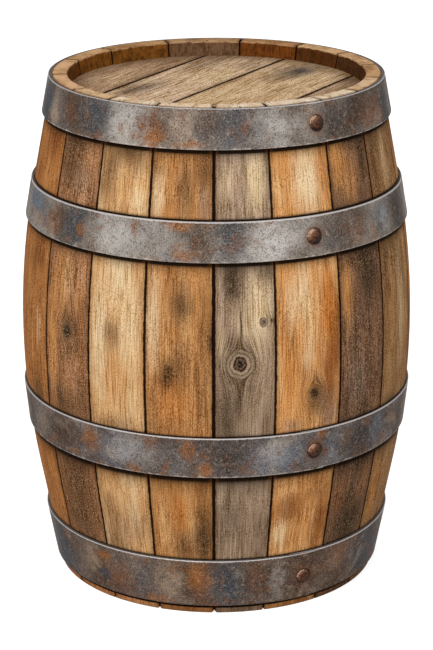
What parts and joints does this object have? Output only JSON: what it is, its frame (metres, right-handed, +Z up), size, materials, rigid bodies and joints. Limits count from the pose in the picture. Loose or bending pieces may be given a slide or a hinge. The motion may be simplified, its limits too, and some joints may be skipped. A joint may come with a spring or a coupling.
{
  "type": "wooden firkin",
  "caption": "Small coopered cask of bent oak staves with boarded heads set below the chimes, lapped and riveted steel hoops, a bung at the bilge and a keystone in the lower head.",
  "frame": {"origin": "centre of the foot, on the floor under the cask's axis", "axes": "+Z up along the cask's axis towards the top head, -Y towards the viewer of the picture, +X to their right"},
  "size_m": [0.3964, 0.3964, 0.515],
  "materials": {
    "stave_oak": "weathered, fine upright grain",
    "head_oak": "dry, sawn and scraped",
    "dowel_oak": "cleft and turned",
    "plug_wood": "turned",
    "hoop_steel": "blue-grey mill scale with rust",
    "rivet_iron": "hammered, rusted"
  },
  "bodies": {
    "cask": {"stave_01": "stave_oak", "stave_02": "stave_oak", "stave_03": "stave_oak", "stave_04": "stave_oak", "stave_05": "stave_oak", "stave_06": "stave_oak", "stave_07": "stave_oak", "stave_08": "stave_oak", "bung_stave": "stave_oak", "stave_10": "stave_oak", "stave_11": "stave_oak", "stave_12": "stave_oak", "stave_13": "stave_oak", "stave_14": "stave_oak", "stave_15": "stave_oak", "stave_16": "stave_oak", "top_head_board_1": "head_oak", "top_head_board_2": "head_oak", "top_head_board_3": "head_oak", "top_head_board_4": "head_oak", "bottom_head_board_1": "head_oak", "bottom_head_board_2": "head_oak", "bottom_head_board_3": "head_oak", "bottom_head_board_4": "head_oak", "top_head_dowels": "dowel_oak", "bottom_head_dowels": "dowel_oak", "top_chime_hoop": "hoop_steel", "upper_bilge_hoop": "hoop_steel", "lower_bilge_hoop": "hoop_steel", "bottom_chime_hoop": "hoop_steel", "top_chime_rivet": "rivet_iron", "upper_bilge_rivet": "rivet_iron", "lower_bilge_rivet": "rivet_iron", "bottom_chime_rivet": "rivet_iron"},
    "bung": {"bung": "plug_wood"},
    "keystone": {"keystone": "plug_wood"}
  },
  "joints": [
    {"name": "bung_draw", "type": "slide", "parent": "cask", "child": "bung", "axis": [-0.0906, 0.9959, 0], "range_m": [0, 0.06]},
    {"name": "keystone_draw", "type": "slide", "parent": "cask", "child": "keystone", "axis": [0, 0, -1], "range_m": [0, 0.045]}
  ]
}
